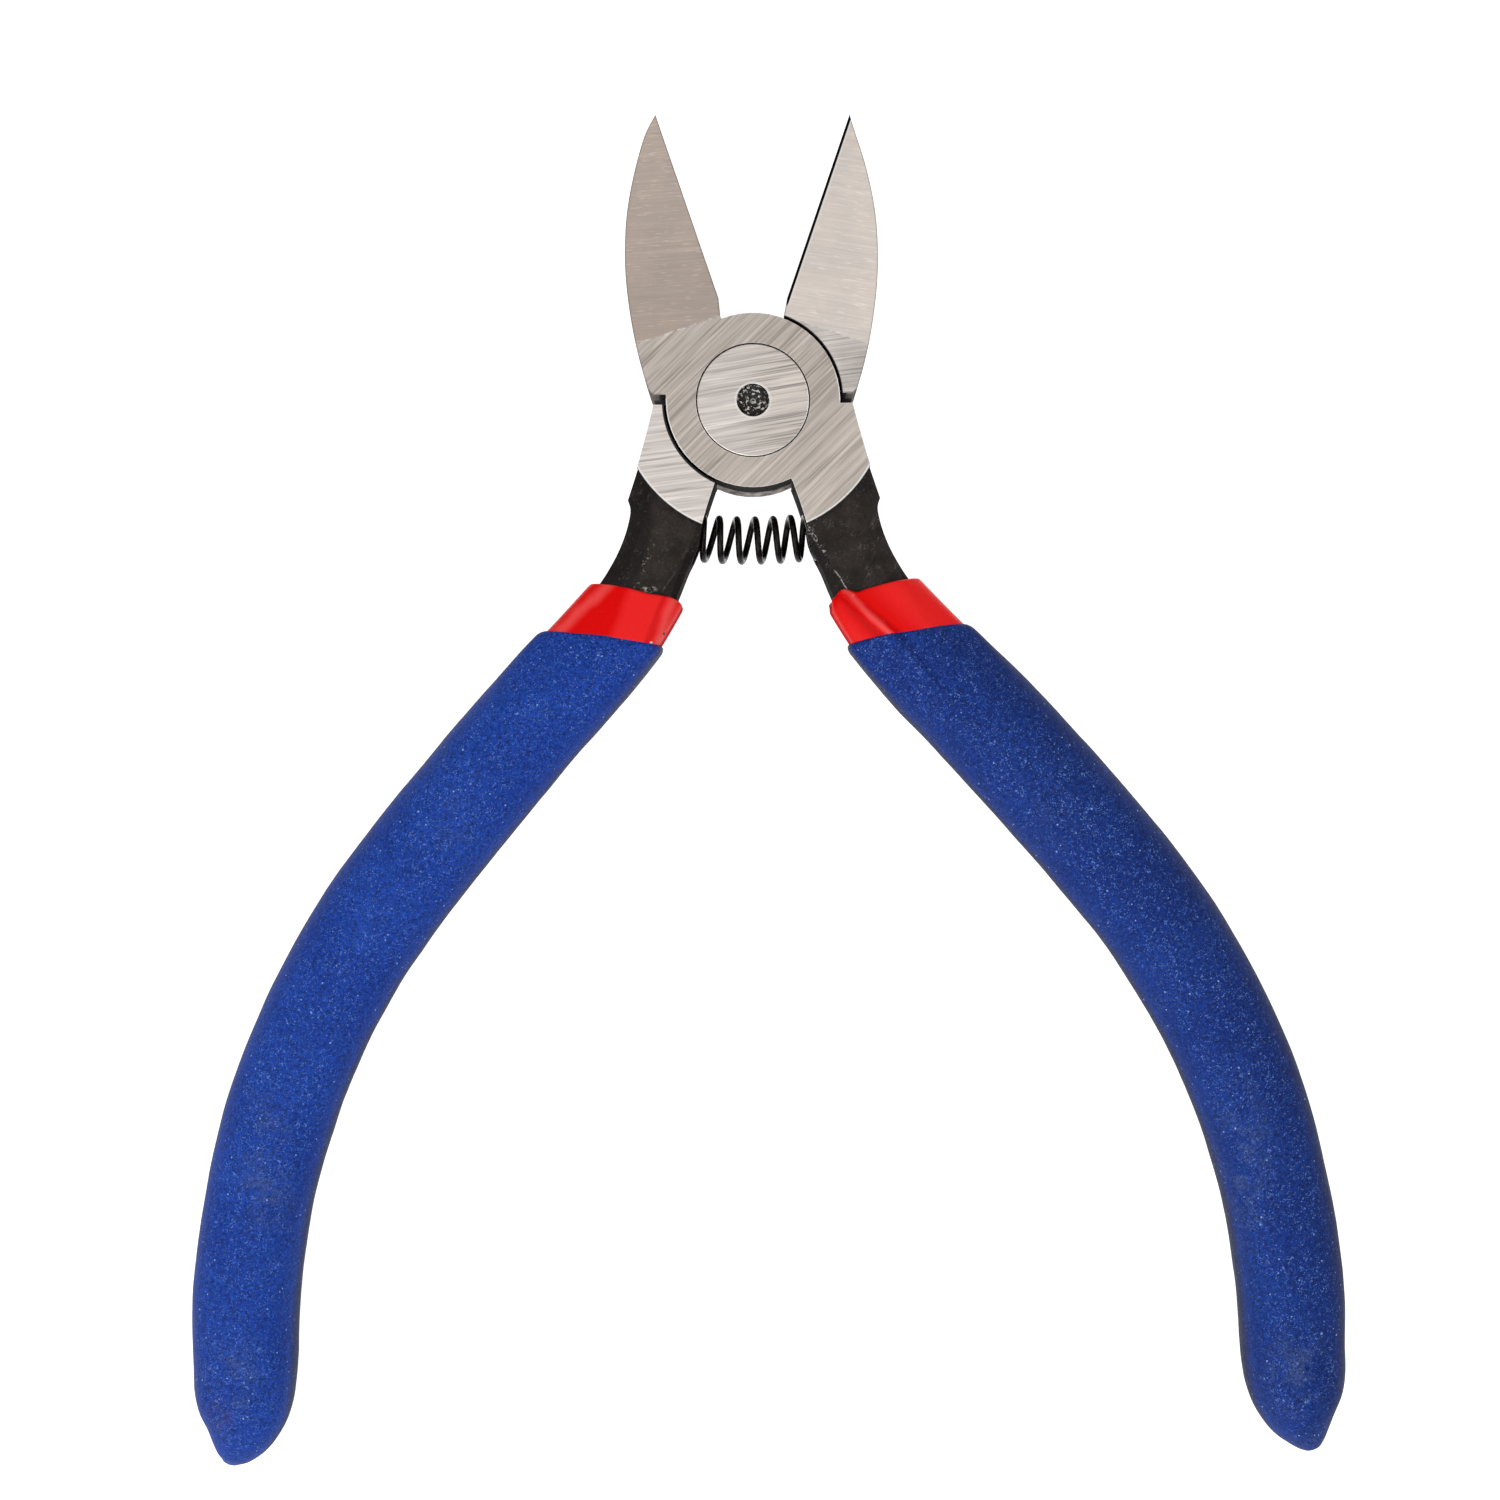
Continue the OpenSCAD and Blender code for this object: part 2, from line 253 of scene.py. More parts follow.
# ------------------------------------------------------------ steel halves
def lever_material(name, side, ground, blade, ground_angle, blade_angle):
    """side: -1 where the blade is on the left, 1 where it is on the right."""
    k = Mat(name)
    p = k.point()
    x, y, z = k.split(p)
    r = k.m("SQRT", k.add(k.mul(x, x), k.mul(y, y)))
    flat = k.flatness()
    turned = OPEN + side * math.radians(0.5)
    cy = k.add(k.mul(x, side * math.sin(turned)), k.mul(y, math.cos(turned)))
    cx = k.sub(k.mul(x, side * math.cos(turned)), k.mul(y, math.sin(turned)))
    # ground face of head and joint
    g = rubbed(k, x, y, z, ground_angle, 2.0 if side < 0 else 31.0)
    big = k.noise(k.vec(x, y, z), 0.16, 2.0, 0.5)
    ground_col = k.gain(k.mix(big, tuple(c * 0.93 for c in ground), tuple(c * 1.07 for c in ground)),
                        streak_gain(k, g))
    if side < 0:
        ground_col = k.gain(ground_col, k.mad(k.step(r, 7.6, 9.5), 0.07, 0.91))
    else:
        dull_spot = k.mul(k.step(y, 0.0, 1.5), k.step(k.noise(k.vec(x, y, 6.0), 0.22, 2.0), 0.25, 0.6))
        ground_col = k.gain(ground_col, k.mad(dull_spot, -0.28, 1.0))
    # smoother faces of the blades, past the facet line
    b = rubbed(k, x, y, z, blade_angle, 12.0 if side < 0 else 47.0)
    stain = k.noise(k.vec(x, k.mul(y, 0.8), z), 0.33, 3.0, 0.55)
    blade_base = k.mix(k.step(stain, 0.35, 0.68), tuple(c * 0.96 for c in blade),
                       tuple(c * f for c, f in zip(blade, (1.06, 1.03, 1.00))))
    blade_col = k.gain(k.gain(blade_base, k.mad(k.step(cy, 9.0, 22.0), 0.12 if side < 0 else 0.02, 0.87 if side < 0 else 0.94)), k.add(streak_gain(k, b, 0.03, 0.34 if side < 0 else 0.26, 0.0, 0.08, 0.05), k.mul(b[5], 0.24 if side < 0 else 0.17)))
    wander = k.mad(k.sub(k.noise(k.vec(x, y, 5.0), 1.6, 2.0), 0.5), 0.22, cy)
    past = k.step(wander, 8.03, 8.17)
    on_blade = k.mul(past, k.step(r, 7.9, 8.2))
    steel_col = k.mix(on_blade, ground_col, blade_col)
    # sparkling line where the two grinds meet
    glint = k.mul(k.bump_at(wander, 8.12, 0.13), k.step(k.noise(k.vec(x, y, 1.0), 2.6, 2.0), 0.45, 0.62))
    glint = k.mul(glint, k.step(r, 8.0, 8.3))
    steel_col = k.mix(k.mul(glint, 0.75), steel_col, (0.85, 0.83, 0.80))
    # side walls are duller and mottled, and painted dark as shade
    mottle = k.noise(k.vec(x, y, z), 1.5, 3.0, 0.6)
    wall_col = k.mix(k.step(mottle, 0.38, 0.62), (0.030, 0.027, 0.025), (0.17, 0.16, 0.15))
    # painted shadow: a black line along the lap seam
    seam = k.step(k.m("ABSOLUTE", k.sub(z, MID)), 0.85, 0.6)
    wall_col = k.mix(seam, wall_col, (0.012, 0.011, 0.010))
    if side < 0:
        # painted shadow: under the disc the upper half of the wall is painted near black
        under = k.mul(k.mul(k.step(z, 4.75, 4.95), k.step(y, -5.9, -6.3)), k.step(r, 8.0, 7.95))
        wall_col = k.mix(k.mul(under, 0.9), wall_col, (0.008, 0.007, 0.006))
    else:
        under = k.mul(k.mul(k.step(z, 4.7, 4.5), k.step(y, -5.9, -6.3)), k.step(r, 8.0, 7.95))
        wall_col = k.mix(under, wall_col, k.mix(k.step(mottle, 0.36, 0.64), (0.10, 0.085, 0.075), (0.52, 0.48, 0.45)))
    # painted shade: walls in the joint's gap go near black; only the open rim below the disc keeps its colour
    rim_open = k.mul(k.step(r, 8.0, 7.95), k.step(y, -5.9, -6.3))
    wall_col = k.mix(rim_open, (0.018, 0.016, 0.015), wall_col)
    wall = k.mul(k.step(flat, 0.55, 0.25), k.step(r, 8.6, 8.4))
    steel_col = k.mix(wall, steel_col, wall_col)
    # painted shade: dark floors of the lap joint, seen in the gap and in the stop pockets
    pit_floor = k.mul(k.step(z, HEAD_T - 1.2, HEAD_T - 1.6), k.step(flat, 0.6, 0.9))
    pit_floor = k.mul(pit_floor, k.step(cy, 8.3, 8.0))
    steel_col = k.mix(k.mul(pit_floor, k.step(z, 0.3, 0.6)), steel_col, (0.022, 0.020, 0.018))
    # painted highlight: a thin bright rim along the edges the stone broke, strongest on the top face below the pivot
    ragged = k.step(k.noise(k.vec(x, y, z), 3.1, 2.0), 0.30, 0.55)
    rim_highlight = k.mul(k.mul(k.edge(0.15, 0.99, 0.85), k.mad(ragged, 0.35, 0.6)), k.step(flat, 0.35, 0.8))
    rim_highlight = k.mul(rim_highlight, k.mad(k.mul(k.step(y, 0.2, -0.6), k.step(z, 9.3, 9.5)), 0.75, 0.22))
    steel_col = k.mix(rim_highlight, steel_col, (0.93, 0.92, 0.90))
    # painted shade: a thin dark line along the outer edges of the head and blades
    outer = k.mul(k.edge(0.30, 0.985, 0.80), k.mul(k.step(y, 0.1, 0.5), k.step(r, 7.95, 8.3)))
    outer = k.m("MAXIMUM", outer, k.mul(k.step(flat, 0.93, 0.84), k.mul(k.step(y, 0.3, 0.7), k.step(r, 8.1, 8.4))))
    steel_col = k.mix(k.mul(outer, 0.85), steel_col, (0.055, 0.050, 0.046))
    # arcs: painted highlight on the edge of the ground face, along the open side of the joint
    arc = k.mul(k.bump_at(r, 11.98, 0.13), k.mul(k.step(y, -0.7, -1.2), k.step(z, 9.3, 9.5)))
    steel_col = k.mix(k.mul(arc, k.mad(ragged, 0.4, 0.55)), steel_col, (0.95, 0.94, 0.92))
    if side < 0:
        # painted highlight: bright patches on the top face's outer parts, left and right of the head
        lit_l = k.mul(k.mul(k.step(x, -5.0, -6.8), k.step(y, -6.5, -4.0)), k.step(y, 0.3, -0.1))
        lit_r = k.mul(k.mul(k.step(x, 6.6, 7.3), k.step(y, 3.4, 1.6)), k.step(y, -0.3, 0.1))
        painted_sheen = k.mul(k.m("MAXIMUM", lit_l, lit_r), k.step(z, 9.3, 9.5))
        painted_sheen = k.mul(painted_sheen, k.step(r, 7.72, 7.79))
        steel_col = k.mix(k.mul(painted_sheen, 0.9), steel_col, (0.95, 0.94, 0.92))
    else:
        # painted shade: the gap round the disc is painted black on the rear half's face, wider towards the lower left
        deep = k.step(k.sub(k.mul(x, -0.66), k.mul(y, 0.75)), 2.0, 7.5)
        dark_r = k.mad(deep, 0.10, 8.13)
        over_gap = k.mul(k.step(k.sub(r, dark_r), 0.03, -0.03), k.mul(k.step(flat, 0.3, 0.7), k.step(z, 0.4, 0.8)))
        steel_col = k.mix(k.mul(over_gap, 0.97), steel_col, (0.012, 0.010, 0.009))
    if side > 0:
        # the cutting edge's land carries a painted dark reflection, with a painted highlight line beside it
        lane = k.mul(k.step(cy, 8.9, 9.3), k.step(flat, 0.3, 0.6))
        steel_col = k.mix(k.mul(k.bump_at(cx, 0.36, 0.12), k.mul(lane, 0.8)), steel_col, (0.93, 0.91, 0.88))
        steel_col = k.mix(k.mul(k.step(cx, 0.29, 0.25), lane), steel_col, (0.006, 0.005, 0.005))
    # black oxide on the tangs
    below = k.step(y, -0.55, -0.75)
    outside = k.step(r, 12.03, 12.10)
    walls = k.mul(k.step(r, 8.25, 8.4), k.step(k.m("ABSOLUTE", k.sub(z, MID)), 4.52, 4.44))
    oxide = k.mul(below, k.m("MAXIMUM", outside, walls))
    cloud = k.noise(k.vec(x, y, z), 0.55, 4.0, 0.6)
    pit = k.noise(k.vec(x, y, z), 5.0, 3.0, 0.62)
    ox_col = k.mix(k.step(cloud, 0.3, 0.7), (0.0118, 0.0092, 0.0078), (0.0285, 0.0222, 0.0190))
    # pitting varies the oxide; upright faces are painted darker as shade
    ox_col = k.gain(ox_col, k.mul(k.mad(k.sub(pit, 0.5), 1.5, 1.0), k.mad(k.step(flat, 0.15, 0.5), 0.62, 0.38)))
    # painted shade: the drafted sides are painted darker; their crests are scuffed
    t = -side
    hx = k.mul(x, float(t))
    from_in = k.add(k.mad(hx, 0.849, 1.95), k.mul(y, 0.528))
    wob = k.mul(k.sub(k.noise(k.vec(x, y, 3.0), 1.1, 2.0), 0.5), 0.35)
    from_in = k.add(from_in, wob)
    inner_side = k.mul(k.step(from_in, 0.12, -0.15), k.step(y, -10.6, -12.0))
    drop = k.add(y, 10.0)
    from_out = k.add(k.sub(hx, k.mad(k.mul(drop, drop), 0.045, 9.05)), wob)
    outer_side = k.mul(k.step(from_out, -0.35, 0.55), k.step(y, -5.2, -7.0))
    shade = k.m("MAXIMUM", k.mul(inner_side, 0.62 if t > 0 else 0.42), k.mul(outer_side, 0.15 if t > 0 else 0.66))
    ox_col = k.mix(shade, ox_col, (0.0042, 0.0030, 0.0026))
    speck = k.noise(k.vec(x, y, z), 4.2, 2.0, 0.7)
    where_ = k.noise(k.vec(x, y, z), 0.7, 2.0)
    dust = k.mul(k.step(speck, 0.60, 0.72), k.step(where_, 0.42, 0.60))
    ox_col = k.mix(k.mul(dust, 0.42), ox_col, (0.115, 0.10, 0.092))
    rust = k.mul(k.step(k.noise(k.vec(k.add(x, 20.0), y, z), 3.3, 2.0, 0.7), 0.63, 0.72), k.step(where_, 0.55, 0.40))
    ox_col = k.mix(k.mul(rust, 0.5), ox_col, (0.075, 0.028, 0.02))
    hair = k.noise(k.vec(k.mad(x, 0.5, k.mul(y, 0.9)), k.mad(x, 2.4, k.mul(y, -1.3)), 8.0), 1.0, 2.0, 0.6)
    hair = k.mul(k.step(k.m("ABSOLUTE", k.sub(hair, 0.5)), 0.022, 0.0), k.step(k.noise(k.vec(x, y, 4.0), 0.8, 1.0), 0.55, 0.66))
    ox_col = k.mix(k.mul(hair, 0.22 if t < 0 else 0.45), ox_col, (0.19, 0.17, 0.16))
    crest_n = k.noise(k.vec(x, y, z), 3.6, 2.0, 0.7)
    upper = k.mul(k.step(y, -11.0, -11.5), k.step(y, -14.4, -13.4))
    lower = k.mul(k.step(y, -15.2, -15.6), k.step(y, -17.4, -17.0))
    # the inner crest carries scuffs and, on the right tang, a painted highlight
    inner_crest_nicks_and_highlight = k.m("MAXIMUM", k.mul(k.mul(upper, k.bump_at(from_in, 0.05, 0.34)), k.step(crest_n, 0.52, 0.62)),
                   k.mul(lower, k.mul(k.bump_at(from_in, 0.0, 0.10), k.step(crest_n, 0.36, 0.50))))
    nicks_out = k.mul(k.bump_at(from_out, -0.1, 0.42), k.mul(k.step(crest_n, 0.56, 0.66), k.step(y, -12.0, -13.5)))
    ox_col = k.mix(k.mul(inner_crest_nicks_and_highlight, 0.85 if t > 0 else 0.08), ox_col, (0.42, 0.40, 0.38))
    ox_col = k.mix(k.mul(nicks_out, 0.1 if t > 0 else 0.6), ox_col, (0.30, 0.28, 0.27))
    if t < 0:
        # rubbed spot just above the dip
        ax = k.mul(k.add(x, 9.6), 1 / 0.95)
        ay = k.mul(k.add(y, 16.85), 1 / 0.42)
        spot = k.step(k.m("SQRT", k.add(k.mul(ax, ax), k.mul(ay, ay))), 1.0, 0.35)
        spot = k.mul(spot, k.step(k.noise(k.vec(x, k.mul(y, 2.2), 9.0), 2.6, 2.0, 0.6), 0.46, 0.56))
        ox_col = k.mix(k.mul(spot, 0.75), ox_col, (0.42, 0.39, 0.37))
    nick = k.mul(k.edge(0.16, 0.985, 0.86), k.step(k.noise(k.vec(x, y, z), 1.9, 3.0, 0.7), 0.60, 0.68))
    ox_col = k.mix(k.mul(nick, 0.8), ox_col, (0.42, 0.39, 0.36))
    k.set(Base_Color=k.mix(oxide, steel_col, ox_col))
    bare = k.m("MAXIMUM", k.sub(1.0, oxide), k.mul(nick, 0.6), clamp=True)
    dull = k.m("MAXIMUM", wall, k.mul(pit_floor, k.step(z, 0.3, 0.6)))
    k.set(Metallic=k.mul(bare, k.sub(1.0, dull)), Specular_IOR_Level=0.12)
    grind_h = k.lerp(on_blade, k.add(k.mul(g[0], 0.8), g[1]), k.mul(b[1], 0.55))
    steel_r = k.lerp(on_blade, k.mad(k.sub(g[1], 0.5), 0.25, 0.36), k.mad(k.sub(b[1], 0.5), 0.2, 0.40))
    ox_r = k.mad(k.sub(pit, 0.5), 0.35, 0.44)
    upright = k.step(flat, 0.40, 0.15)
    k.set(Roughness=k.lerp(upright, k.lerp(oxide, steel_r, ox_r), 0.95))
    h = k.lerp(oxide, k.mul(grind_h, 0.35), k.add(pit, k.mul(cloud, 1.6)))
    k.set(Normal=k.bump(h, 0.02))
    return k.mat


front = lever_material("ground_front_half", -1, srgb(199, 189, 180), srgb(199, 185, 175), 44, 3)
rear = lever_material("ground_rear_half", 1, srgb(217, 209, 203), srgb(232, 223, 216), 7, -10)


def rivet_material():
    k = Mat("ground_rivet")
    x, y, z = k.split(k.point())
    r = k.m("SQRT", k.add(k.mul(x, x), k.mul(y, y)))
    s = rubbed(k, x, y, z, 9, 71.0)
    base = k.mix(k.step(x, -4.0, 4.5), srgb(211, 203, 197), srgb(208, 199, 191))
    base = k.gain(base, k.mad(k.step(y, -1.5, -4.0), -0.07, 1.0))
    more = k.lerp(k.step(x, -2.0, 3.0), 0.22, 0.48)
    g = streak_gain(k, s, 0.22, 0.80, 0.0, 0.22, 0.34)
    col = k.gain(base, k.sub(g, k.mul(s[2], more)))
    # painted highlight: a bright ring round the dimple's edge
    ring = k.bump_at(r, 1.58, 0.15)
    col = k.mix(k.mul(ring, 0.7), col, (0.88, 0.86, 0.83))
    # painted highlight: a bright rim round the head, strongest on its lit side
    lit = k.step(k.sub(k.mul(x, 0.9), k.mul(y, 0.45)), 0.5, 4.0)
    rim_highlight = k.mul(k.bump_at(r, 5.04, 0.12), k.mad(lit, 0.75, 0.12))
    col = k.mix(rim_highlight, col, (0.84, 0.82, 0.79))
    # rough black dimple, with a small ring left by the punch in the middle
    hole = k.step(r, 1.51, 1.45)
    rough = k.noise(k.vec(x, y, z), 2.7, 4.0, 0.75)
    grit = k.mix(k.step(rough, 0.54, 0.61), (0.010, 0.009, 0.008), (0.78, 0.73, 0.69))
    dot = k.mul(k.bump_at(r, 0.20, 0.09), 0.8)
    grit = k.mix(dot, grit, (0.45, 0.42, 0.40))
    k.set(Base_Color=k.mix(hole, col, grit))
    k.set(Metallic=k.lerp(hole, 1.0, 0.35))
    k.set(Roughness=k.lerp(hole, k.mad(k.sub(s[1], 0.5), 0.25, 0.35), 0.55))
    h = k.lerp(hole, k.mul(k.add(k.mul(s[0], 0.8), s[1]), 0.35), k.mul(rough, 9.0))
    k.set(Normal=k.bump(h, 0.02))
    return k.mat


def edge_breaks(obj, width, segments=2):
    """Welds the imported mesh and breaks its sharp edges, as the real steel's are."""
    w = obj.modifiers.new("weld", "WELD")
    w.merge_threshold = 1e-6
    d = obj.modifiers.new("planar", "DECIMATE")
    d.decimate_type = "DISSOLVE"
    d.angle_limit = math.radians(0.4)
    b = obj.modifiers.new("edge_break", "BEVEL")
    b.width = width * MM
    b.segments = segments
    b.limit_method = "ANGLE"
    b.angle_limit = math.radians(24)
    b.use_clamp_overlap = True
    b.miter_outer = "MITER_ARC"
    n = obj.modifiers.new("normals", "WEIGHTED_NORMAL")
    n.mode = "FACE_AREA"
    n.weight = 80
    n.keep_sharp = False


for node, mat, width in (("front_lever", front, 0.05), ("rear_lever", rear, 0.05),
                         ("pivot_rivet", rivet_material(), 0.03)):
    o = nodes[node]
    for s in o.material_slots:
        s.material = mat
    edge_breaks(o, width)


# ------------------------------------------------------------ mesh building
def add_mesh(name, verts, faces, mat, flip=False):
    me = bpy.data.meshes.new(name)
    me.from_pydata([tuple(c * MM for c in v) for v in verts], [], faces)
    bm = bmesh.new()
    bm.from_mesh(me)
    bmesh.ops.recalc_face_normals(bm, faces=bm.faces)
    bm.to_mesh(me)
    bm.free()
    for f in me.polygons:
        f.use_smooth = True
    me.materials.append(mat)
    ob = bpy.data.objects.new(name, me)
    scene.collection.objects.link(ob)
    return ob


def skin(rings):
    """Closed skin over rings of equal length; a point closes each end."""
    m, n = len(rings), len(rings[0])
    verts = [tuple(p) for ring in rings for p in ring]
    faces = []
    for i in range(m - 1):
        for j in range(n):
            q = (j + 1) % n
            faces.append((i * n + j, (i + 1) * n + j, (i + 1) * n + q, i * n + q))
    for i, row in ((0, rings[0]), (m - 1, rings[-1])):
        verts.append(tuple(np.mean(np.array(row), axis=0)))
        c = len(verts) - 1
        for j in range(n):
            faces.append((i * n + j, i * n + (j + 1) % n, c))
    return verts, faces


def smoothstep(t):
    t = min(max(t, 0.0), 1.0)
    return t * t * (3 - 2 * t)


# ------------------------------------------------------------ handle line
GRIP = np.array([
    [10.75, -17.1, 3.95, 4.05], [13.95, -21.1, 4.75, 4.5], [17.95, -25.8, 5.2, 4.8],
    [22.7, -31, 5.3, 4.8], [29.8, -39.2, 5.3, 4.8], [36.1, -47.3, 5.25, 4.8],
    [40.9, -55.5, 5.15, 4.8], [44.35, -63.6, 5.05, 4.8], [46.6, -71.8, 4.9, 4.8],
    [47.85, -80, 4.85, 4.8], [48.15, -87, 4.7, 4.75], [48.4, -90.8, 4.3, 4.5],
    [48.8, -93.2, 3.3, 3.75], [49.4, -95, 2, 2.5], [49.75, -95.9, 0.8, 1.1]])
LAST = 28.0
LIP = 2.0
SLEEVE_END = 24.0
BAR_W, BAR_T, WALL = 2.5, 2.2, 1.1


def line(u):
    """x, y, half width, half thickness at step u (0 to 28) of the handle line."""
    t = min(max(u, 0.0), LAST) / 2
    i = min(int(t), len(GRIP) - 2)
    f = t - i
    b, c = GRIP[i], GRIP[i + 1]
    a = 2 * GRIP[0] - GRIP[1] if i == 0 else GRIP[i - 1]
    d = 2 * GRIP[-1] - GRIP[-2] if i == len(GRIP) - 2 else GRIP[i + 2]
    return 0.5 * (2 * b + (c - a) * f + (2 * a - 5 * b + 4 * c - d) * f * f
                  + (3 * b - a - 3 * c + d) * f ** 3)


def tangent(u):
    v = (line(u + 1) - line(u - 1))[:2]
    return v / np.linalg.norm(v)


def skew(u):
    s = -24 + (-31 + 24) * u / 2 if u < 2 else -31 * max(0.0, 1 - (u - 2) / 7)
    return math.radians(s)


def across(u):
    t = tangent(u)
    s = skew(u)
    x, y = -t[1], t[0]
    return np.array([x * math.cos(s) - y * math.sin(s), x * math.sin(s) + y * math.cos(s)])


def sleeve_a(u):
    return 3.9 + (4.35 - 3.9) * u / LIP if u < LIP \
        else line(u)[2] - (0.25 + (WALL - 0.25) * min(1, (u - LIP) / 3))


def sleeve_b(u):
    return 4.05 + (4.35 - 4.05) * u / LIP if u < LIP \
        else line(u)[3] - (0.25 + (WALL - 0.25) * min(1, (u - LIP) / 3))


def oval(n, e):
    """Unit cross-section, starting on the outer side: (across, up) pairs."""
    q = 2 * np.pi * (np.arange(n) + 0.5) / n
    return np.stack([np.sign(np.cos(q)) * np.abs(np.cos(q)) ** e,
                     np.sign(np.sin(q)) * np.abs(np.sin(q)) ** e], 1)


def rounded(n, corners, soft):
    """Unit cross-section from corner points of the upper half, mirrored below and
    softened by soft (fraction of the girth)."""
    up = np.array(corners, float)
    low = up[::-1] * [1, -1]
    poly = np.vstack([up, low, up[:1]])
    seg = np.linalg.norm(np.diff(poly, axis=0), axis=1)
    s = np.concatenate([[0], np.cumsum(seg)])
    big = 480
    t = np.linspace(0, s[-1], big, endpoint=False)
    pts = np.stack([np.interp(t, s, poly[:, 0]), np.interp(t, s, poly[:, 1])], 1)
    freq = np.fft.fftfreq(big) * big
    sig = soft * 2 * np.pi
    pts = np.real(np.fft.ifft(np.fft.fft(pts, axis=0) * np.exp(-0.5 * (freq * sig) ** 2)[:, None], axis=0))
    pts = pts / np.abs(pts).max(axis=0)
    pick = (np.arange(n) * big / n).astype(int)
    return pts[pick]


def place(u, unit_ring, a, b, slide=None, shrink=0.0):
    """Puts a unit cross-section at step u; slide moves each point along the handle."""
    c = line(u)
    t = tangent(u)
    v = across(u)
    s = (a - shrink) / math.cos(skew(u))
    out = np.empty((len(unit_ring), 3))
    out[:, :2] = c[:2] + np.outer(unit_ring[:, 0] * s, v)
    out[:, 2] = MID + unit_ring[:, 1] * (b - shrink)
    if slide is not None:
        out[:, :2] += np.outer(slide, t)
    return out


def on_handle(ring, side):
    """Mirrors a right-hand ring where it is the left handle's, and hangs it as the handle hangs."""
    a = math.radians(0.3 if side > 0 else 0.45)
    r = ring * [side, 1, 1]
    return np.stack([r[:, 0] * math.cos(a) - r[:, 1] * math.sin(a),
                     r[:, 0] * math.sin(a) + r[:, 1] * math.cos(a), r[:, 2]], 1)


# ------------------------------------------------------------ red inner sleeves
def red_material(side):
    k = Mat("dipped_red_left" if side < 0 else "dipped_red_right")
    p = k.point()
    x, y, z = k.split(p)
    top = k.step(z, 5.2, 6.8)
    wide = k.noise(p, 0.22, 3.0, 0.5)
    fine = k.noise(p, 2.4, 3.0, 0.6)
    wob = k.mul(k.sub(k.noise(k.vec(x, y, 2.0), 0.45, 1.0), 0.5), 0.5)
    # painted light on the dip: a lit and a shaded red split along its slopes, pink bands as painted reflections and
    # dark-red bands as painted shade
    deep, lit_red, pink_reflection, dusk = (0.69, 0.0018, 0.0018), (0.80, 0.0165, 0.0155), (0.86, 0.082, 0.076), (0.50, 0.0008, 0.0008)

    def from_line(nx, ny, off):
        return k.add(k.add(k.mul(x, nx), k.mad(y, ny, off)), wob)

    if side < 0:
        d = from_line(0.927, -0.376, 4.19)
        col = k.mix(k.mul(k.step(d, -0.55, 0.45), top), deep, lit_red)
        e = from_line(0.92, -0.391, -0.27)
        col = k.mix(k.mul(k.mul(k.bump_at(e, -0.85, 0.45), top), 0.55), col, dusk)
        col = k.mix(k.mul(k.mul(k.bump_at(e, -0.05, 0.55), top), 0.85), col, pink_reflection)
        o = from_line(0.666, -0.746, -3.12)
        col = k.mix(k.mul(k.mul(k.bump_at(o, 0.30, 0.85), top), 0.70), col, pink_reflection)
    else:
        d = from_line(0.711, 0.703, 6.33)
        col = k.mix(k.mul(k.step(d, 0.6, 3.2), top), deep, lit_red)
        col = k.mix(k.mul(k.mul(k.step(d, -1.0, -2.4), top), 0.8), col, lit_red)
        col = k.mix(k.mul(k.mul(k.bump_at(d, -0.72, 0.62), top), 0.80), col, dusk)
        col = k.mix(k.mul(k.mul(k.bump_at(d, 0.64, 0.30), top), 0.38), col, dusk)
        col = k.mix(k.mul(k.mul(k.bump_at(d, 0.06, 0.46), top), 0.85), col, pink_reflection)
    col = k.gain(col, k.mad(k.sub(fine, 0.5), 0.10, 1.0))
    dots = k.cells(p, 1.1)
    on = k.step(k.noise(p, 0.9, 1.0), 0.52, 0.60)
    col = k.mix(k.mul(k.mul(k.step(dots, 0.10, 0.06), on), 0.55), col, (0.75, 0.30, 0.28))
    dark = k.cells(k.vec(k.add(x, 31.0), y, z), 0.42)
    col = k.mix(k.mul(k.step(dark, 0.045, 0.03), 0.9), col, (0.02, 0.005, 0.005))
    flat = k.flatness()
    upright = k.step(flat, 0.30, 0.08)
    shade = -0.35 if side < 0 else k.mad(k.step(d, 2.0, 4.0), -0.40, -0.35)
    col = k.gain(col, k.mad(upright, shade, 1.0))
    if side < 0:
        def mark(cx, cy, rad):
            ax, ay = k.sub(x, cx), k.sub(y, cy)
            return k.step(k.m("SQRT", k.add(k.mul(ax, ax), k.mul(ay, ay))), rad, rad * 0.4)

        # a dark speck, and a painted glint beside it
        col = k.mix(k.mul(mark(-8.27, -20.9, 0.17), 0.9), col, (0.02, 0.004, 0.004))
        col = k.mix(k.mul(mark(-9.42, -21.72, 0.17), 0.9), col, (0.85, 0.62, 0.60))
    k.set(Base_Color=col, Specular_IOR_Level=0.14, IOR=1.3)
    k.set(Roughness=k.lerp(upright, k.mad(k.sub(fine, 0.5), 0.10, 0.27), 0.90))
    k.set(Normal=k.bump(k.add(k.mul(wide, 2.5), k.mul(fine, 0.25)), 0.02))
    return k.mat


RED_N = 112


